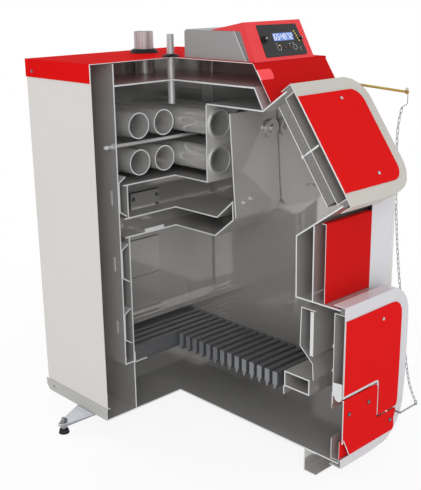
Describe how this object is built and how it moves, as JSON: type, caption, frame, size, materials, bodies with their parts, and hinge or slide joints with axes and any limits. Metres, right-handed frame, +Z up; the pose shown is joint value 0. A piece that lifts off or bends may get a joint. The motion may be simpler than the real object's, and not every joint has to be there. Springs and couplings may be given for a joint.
{
  "type": "solid fuel boiler",
  "caption": "Floor standing solid fuel boiler in section, with sloping loading door, ash door with air flap, water jacket, fire tubes, cast grate and chain draught control.",
  "frame": {"origin": "centre of the bounding box at floor level", "axes": "+Z up, the doors face -Y, +X to the right seen from the front"},
  "size_m": [0.766, 1.069, 1.241],
  "materials": {
    "sheet_grey": "smooth light grey powder coat",
    "sheet_white": "fine grain light grey powder coat",
    "sheet_red": "glossy red powder coat",
    "boiler_steel": "dark mill finish boiler plate",
    "inner_steel": "grey mill finish boiler plate",
    "zinc_steel": "zinc plated steel",
    "cast": "dark cast iron",
    "refractory": "speckled refractory board",
    "plastic_grey": "grey moulded plastic",
    "plastic_red": "red moulded plastic",
    "plastic_black": "black moulded plastic",
    "rubber_black": "black rubber",
    "brass": "plain brass"
  },
  "bodies": {
    "boiler": {"base_plate": "boiler_steel", "sills": "sheet_grey", "front_rail": "inner_steel", "foot_brackets": "zinc_steel", "foot_screws": "zinc_steel", "foot_pads": "rubber_black", "side_panels": "sheet_grey", "back_panel": "sheet_grey", "top_cover": "sheet_red", "slope_cover": "sheet_red", "middle_panel": "sheet_red", "front_frame": "sheet_white", "control_housing": "plastic_grey", "control_hood": "plastic_red", "control_fascia": "plastic_black", "control_buttons": "plastic_black", "flow_pipe": "zinc_steel", "sensor_sleeve": "zinc_steel", "pipe_collars": "rubber_black", "return_pipe": "zinc_steel", "outer_walls": "boiler_steel", "inner_walls": "inner_steel", "jacket_top": "boiler_steel", "back_plates": "boiler_steel", "front_tube_plate": "inner_steel", "fire_tubes": "inner_steel", "tube_floor": "inner_steel", "water_baffle": "inner_steel", "mouth_top_plate": "inner_steel", "front_jacket": "inner_steel", "wall_stays": "zinc_steel", "rear_fire_plates": "inner_steel", "grate": "cast", "grate_supports": "inner_steel", "ash_guard": "inner_steel", "cleaning_door": "inner_steel", "smoke_box": "boiler_steel", "hinge_brackets": "zinc_steel", "regulator_body": "brass"},
    "upper_door": {"upper_door_skin": "sheet_white", "upper_door_panel": "sheet_red", "upper_door_pan": "inner_steel", "upper_door_lining": "refractory"},
    "lower_door": {"lower_door_skin": "sheet_white", "lower_door_panel": "sheet_red", "lower_door_pan": "inner_steel", "lower_door_seal": "refractory"},
    "flap": {"air_flap": "sheet_red"},
    "lever": {"draught_lever": "brass"},
    "hanging_chain": {"chain": "zinc_steel"}
  },
  "joints": [
    {"name": "upper_door_hinge", "type": "hinge", "parent": "boiler", "child": "upper_door", "pos_m": [0.276, -0.39661, 0.93419], "axis": [0, 0.5793, 0.8151], "range_deg": [0, 90]},
    {"name": "lower_door_hinge", "type": "hinge", "parent": "boiler", "child": "lower_door", "pos_m": [0.276, -0.4925, 0.3], "axis": [0, 0, 1], "range_deg": [0, 95]},
    {"name": "draught_lever_pivot", "type": "hinge", "parent": "boiler", "child": "lever", "pos_m": [0.312, -0.2465, 1.064], "axis": [-1, 0, 0], "range_deg": [0, 5.67]},
    {"name": "air_flap_hinge", "type": "hinge", "parent": "lower_door", "child": "flap", "pos_m": [0.1, -0.5085, 0.2625], "axis": [-1, 0, 0], "range_deg": [0, 30]},
    {"name": "chain_swing", "type": "hinge", "parent": "lever", "child": "hanging_chain", "pos_m": [0.3166, -0.45022, 1.05332], "axis": [-1, 0, 0], "range_deg": [-2.41, 0]}
  ],
  "couplings": [
    {"joint": "air_flap_hinge", "follows": "draught_lever_pivot", "ratio": 5.2919},
    {"joint": "chain_swing", "follows": "draught_lever_pivot", "ratio": -0.42452}
  ]
}
